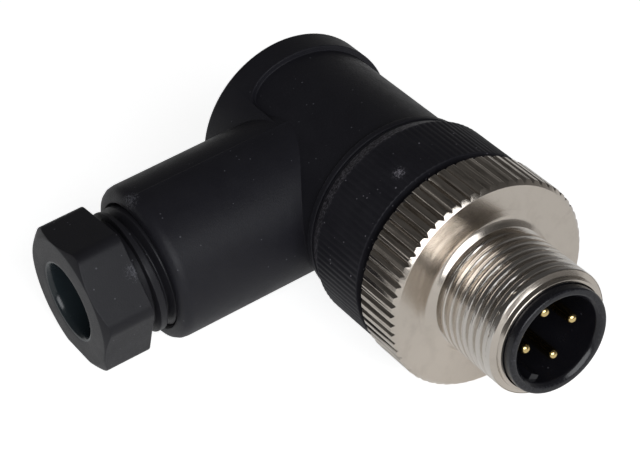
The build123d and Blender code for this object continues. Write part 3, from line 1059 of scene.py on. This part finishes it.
# %% Contact carrier
collar_radius = 5.05
chamber_bore = 4.12
chamber_floor = collar_front - 9.6
flange_rear = carrier_rear + 0.75
flange_radius = 8.3
flange_thickness = 0.85
register_radius = 7.3
union_gap = 0.17
neck_radius = 6.35
clip_neck = 5.6
clip_rear = 18.96
clip_front = 21.26
rim_inner_radius = 4.48
lead_in_length = 0.36
key_width = 0.9
key_height = 0.6
key_set_back = 0.7
key_angle = radians(225)

carrier_mesh = turned(
    [
        (carrier_rear, 0, 0),
        (carrier_rear, register_radius, 0.05),
        (flange_rear, register_radius, 0.05),
        (flange_rear, flange_radius, 0.08),
        (flange_rear + flange_thickness, flange_radius, 0.08),
        (flange_rear + flange_thickness, neck_radius, 0.1),
        (union_front + union_gap, neck_radius, 0.06),
        (union_front + union_gap, clip_neck, 0.1),
        (clip_rear, clip_neck, 0.1),
        (clip_rear, neck_radius, 0.06),
        (clip_front, neck_radius, 0.06),
        (clip_front, collar_radius, 0.1),
        (collar_front, collar_radius, 0.25),
        (collar_front, rim_inner_radius, 0.12),
        (collar_front - lead_in_length, chamber_bore, 0.14),
        (chamber_floor, chamber_bore, 0.12),
        (chamber_floor, 0, 0),
    ],
    on_mating, 192,
)
key = block(
    (chamber_floor - 0.2, chamber_bore - key_height, -key_width / 2),
    (collar_front - key_set_back, (chamber_bore + collar_radius) / 2, key_width / 2),
)
carrier_mesh = combined(carrier_mesh, turned_by(key, insert_turn + key_angle), "UNION")
piece("carrier_moulding", carrier_mesh, insert_black, "insert", "insert_plastic", "contact_carrier")

# %% [markdown]
# Each contact is one turned part: a pin with a domed tip in front and a screw terminal behind. The dome
# is drawn point by point, since a rounded corner alone would leave a flat on the tip, and the small
# highlight of the gold depends on it. One section makes all four pins.

# %% Contacts
contact_circle = 2.5
pin_radius = 0.5
pin_tip = collar_front - 1.1
dome_length = 0.45
dome_steps = 8
terminal_radius = 1.5
terminal_rear = carrier_rear - 7.6
wire_hole = 0.85
wire_hole_depth = 5.6

dome = []
for step in range(dome_steps + 1):
    swing = pi / 2 * step / dome_steps
    dome.append((pin_tip - dome_length * (1 - sin(swing)), pin_radius * cos(swing)))
pin_section = dome + rounded([
    (terminal_rear + wire_hole_depth, 0, 0),
    (terminal_rear + wire_hole_depth, wire_hole, 0),
    (terminal_rear, wire_hole, 0.1),
    (terminal_rear, terminal_radius, 0.1),
    (carrier_rear, terminal_radius, 0.05),
    (carrier_rear, pin_radius, 0),
])
for number in range(1, 5):
    pin = swept(lambda angle: pin_section, full_turn(48), on_mating)
    pin.transform(Matrix.Translation((0, contact_circle * MM, 0)))
    turned_by(pin, insert_turn + (number - 1) * pi / 2)
    piece(f"contact_pin_{number}", pin, gold, "insert", "gold_plate", f"contact_{number}", sharp=40)

# %% [markdown]
# The gland nut is a moulded hexagon with rounded corners. Its outer face is chamfered at 30 degrees, so
# the chamfer bites deeper at the corners than at the flats and draws the curved edge of a real nut. A
# cylinder with six sides and a bevel would miss that curve. Here one sweep makes it, with a formula for
# the radius of the hexagon at each angle.

# %% Gland nut
nut_front = -nut_low[1]
nut_rear = nut_front - 4.85
nut_inner = -nut_high[1]
seal_pocket = 4.6
seal_pocket_depth = 4.0
undercut_radius = 5.2
undercut_length = 0.85
hex_flats = 12.45
hex_corner = 1.35
hex_turn = radians(5.8)
hex_face = 6.15
nut_bore = 3.5
nut_mouth = 0.88
gland_crest = 5.9
gland_root = 5.02
gland_pitch = 1.5


def hexagon_radius(angle):
    """Radius of the rounded hexagon at an angle."""
    from_flat = (angle - hex_turn) % (pi / 3) - pi / 6
    flat = hex_flats / 2
    centre = (flat - hex_corner) / cos(pi / 6)
    if abs(from_flat) <= atan2((flat - hex_corner) * tan(pi / 6), flat):
        return flat / cos(from_flat)
    swing = pi / 6 - abs(from_flat)
    return centre * cos(swing) + sqrt(max(0.0, hex_corner ** 2 - (centre * sin(swing)) ** 2))


def nut_section(angle):
    """The nut at an angle: thread, undercut, hexagon, chamfer, mouth and bore."""
    outside = hexagon_radius(angle)
    chamfer = (outside - hex_face) * tan(radians(30))
    return (
        [(nut_inner, seal_pocket)]
        + threaded(nut_inner, nut_rear - undercut_length - 0.05, gland_crest, gland_root, gland_pitch, angle)
        + rounded([
            (nut_rear - undercut_length, undercut_radius, 0),
            (nut_rear, undercut_radius, 0.08),
            (nut_rear, outside, 0.1),
            (nut_front - chamfer, outside, 0.07),
            (nut_front, hex_face, 0.12),
            (nut_front, nut_bore + nut_mouth, 0),
            (nut_front, nut_bore, nut_mouth),
            (nut_inner + seal_pocket_depth, nut_bore, 0.1),
            (nut_inner + seal_pocket_depth, seal_pocket, 0),
        ])
    )


nut_mesh = swept(nut_section, full_turn(240), on_cable)
nut = piece("gland_nut_hex", nut_mesh, gland_black, "gland", "housing_plastic", "gland_nut")
finish_where(nut, rubber, from_cable, lambda along, radius: radius < nut_bore + 0.35)

# %% [markdown]
# Behind the nut lie the washer, the rubber seal and the clamping cage. They show only through the cable
# entry, but they are real parts, so the washer and the seal get rounded sections, and each has its own
# finish.

# %% Gland washer, seal and cage
washer_low, washer_high = extent("gland_washer")
seal_low, seal_high = extent("cable_seal")
cage_radius = extent("clamp_cage")[1][2]
bush_hole = 3.1
bush_radius = 4.25

washer_mesh = turned(
    [
        (-washer_high[1], nut_bore, 0.08),
        (-washer_high[1], cage_radius, 0.08),
        (-washer_low[1], cage_radius, 0.08),
        (-washer_low[1], nut_bore, 0.08),
    ],
    on_cable, 96,
)
piece("thrust_washer", washer_mesh, cage_grey, "thrust", "cage_plastic", "gland_washer")

seal_mesh = turned(
    [
        (-seal_high[1], bush_hole, 0.3),
        (-seal_high[1], bush_radius, 0.3),
        (-seal_low[1], bush_radius, 0.3),
        (-seal_low[1], bush_hole, 0.4),
    ],
    on_cable, 96,
)
piece("cable_bush", seal_mesh, rubber, "housing", "seal_rubber", "cable_seal")

# %% [markdown]
# The parts that stay hidden keep their CAD meshes. They still get a real finish, because an exploded view
# or another pose can show them.

# %% Finishes for the hidden CAD nodes
hidden_finishes = {
    "clamp_cage": cage_grey,
    "terminal_block": insert_black,
    "insert_seal": rubber,
    "retaining_ring": spring_steel,
    "terminal_screw_1": screw_steel,
    "terminal_screw_2": screw_steel,
    "terminal_screw_3": screw_steel,
    "terminal_screw_4": screw_steel,
}
for node, finish in hidden_finishes.items():
    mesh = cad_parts[node].data
    mesh.materials.clear()
    mesh.materials.append(finish)
print(len(hidden_finishes), "hidden nodes finished")

# %% [markdown]
# The connector lies on its side and touches the floor at the cap, the coupling ring and the nut, so the
# floor is slightly tilted against the connector's own axes. The photograph was cut out on white. The
# floor is therefore lifted to white for the camera only, and keeps a soft shadow. In reflections it is a
# plain pale board, which is what the nickel shows.

# %% Floor
floor_normal = Vector((0.025, 0.133, 0.991)).normalized()
ring_middle = Vector(((cable_x + coupling_rear + 0.2) * MM, 0, 0))
floor_point = ring_middle - floor_normal * (coupling_radius * MM)
floor_half = 0.9
board_glow = 0.3
camera_glow = 0.54


def pale_floor_material():
    """A pale board that also glows a little, and more for the camera."""
    material = bpy.data.materials.new("pale floor")
    material.use_nodes = True
    tree = material.node_tree
    tree.nodes.clear()
    path = add_node(tree, "LightPath")
    board = add_node(tree, "BsdfDiffuse")
    board.inputs["Color"].default_value = (0.8, 0.8, 0.79, 1.0)
    glow = add_node(tree, "Emission")
    strength = calc(tree, "MULTIPLY_ADD", path.outputs["Is Camera Ray"], camera_glow, board_glow)
    tree.links.new(strength, glow.inputs["Strength"])
    both = add_node(tree, "AddShader")
    tree.links.new(board.outputs[0], both.inputs[0])
    tree.links.new(glow.outputs[0], both.inputs[1])
    out = add_node(tree, "OutputMaterial")
    tree.links.new(both.outputs[0], out.inputs["Surface"])
    return material


floor_mesh = bpy.data.meshes.new("floor")
floor_across = floor_normal.cross(Vector((0, 1, 0))).normalized() * floor_half
floor_along = floor_normal.cross(floor_across)
floor_corners = [
    floor_point + floor_across * a + floor_along * b for a, b in ((-1, -1), (1, -1), (1, 1), (-1, 1))
]
floor_mesh.from_pydata(floor_corners, [], [(0, 1, 2, 3)])
floor = in_scene("floor", floor_mesh)
floor_mesh.materials.append(pale_floor_material())
print("floor tilted by", round(degrees(floor_normal.angle(Vector((0, 0, 1)))), 1), "degrees")

# %% [markdown]
# One softbox stands in front of the pins and to their right, as its reflection on the ring's chamfer
# shows. An area lamp gives the soft edge that a point or a sun would not, and its power follows from its
# size and the brightness that its reflection should have.

# %% Softbox
lamp_azimuth = radians(-15)
lamp_height = radians(32)
lamp_distance = 0.45
lamp_size = (0.45, 0.28)
lamp_radiance = 3.4
lamp_reach = cos(lamp_height)
towards = Vector((lamp_reach * cos(lamp_azimuth), lamp_reach * sin(lamp_azimuth), sin(lamp_height)))
light = bpy.data.lights.new("softbox", "AREA")
light.shape = "RECTANGLE"
light.color = (0.95, 0.975, 1.0)
light.size, light.size_y = lamp_size
light.energy = pi * lamp_radiance * lamp_size[0] * lamp_size[1]
lamp = in_scene("softbox", light)
lamp.location = towards * lamp_distance
lamp.rotation_mode = "QUATERNION"
lamp.rotation_quaternion = towards.to_track_quat("Z", "Y")
print("softbox", [round(side, 2) for side in lamp_size], "m at", round(light.energy, 2), "W")

# %% [markdown]
# The rest of the room is dim, a little lighter at its walls than overhead. A dim room keeps the black
# plastic black, and the lighter walls are what the far side of the thread shows. The camera itself sees
# plain white.

# %% Room
horizon_strength = 0.19
overhead_strength = 0.065
gradient_steepness = 2.2

world = bpy.data.worlds.new("dim room")
bpy.context.scene.world = world
world.use_nodes = True
room = world.node_tree
back = room.nodes["Background"]
back.inputs["Color"].default_value = (1.0, 0.985, 0.97, 1.0)
upward = parts_of(room, add_node(room, "TexCoord").outputs["Generated"])[2]
climb = calc(room, "MULTIPLY", upward, gradient_steepness, clamp=True)
room_strength = calc(room, "MULTIPLY_ADD", climb, overhead_strength - horizon_strength, horizon_strength)
ray = add_node(room, "LightPath")
room.links.new(calc(room, "MAXIMUM", room_strength, ray.outputs["Is Camera Ray"]), back.inputs["Strength"])
print("room", horizon_strength, "at the walls and", overhead_strength, "overhead")

# %% [markdown]
# The camera was fitted to the photograph's circles: the rims of the ring, the collar and the arm. A long
# lens and a short distance go with a small object. Its three directions are written as they were fitted,
# which is more exact than turning it by eye.

# %% Camera
camera_data = bpy.data.cameras.new("camera")
camera_data.sensor_width = 36
camera_data.lens = 142.04
camera = in_scene("camera", camera_data)
camera.location = Vector((134.704, -90.736, 138.600)) * MM
right = Vector((0.55034, 0.826771, -0.116518))
down = Vector((0.468671, -0.421388, -0.776388))
ahead = Vector((-0.690994, 0.372669, -0.619391))
camera.rotation_mode = "QUATERNION"
camera.rotation_quaternion = Matrix((right, -down, -ahead)).transposed().to_quaternion()
camera_data.clip_start = 0.01
bpy.context.scene.camera = camera
bpy.context.scene.view_settings.view_transform = "Standard"
print("camera", round((camera.location - ring_middle).length, 3), "m from the coupling ring")
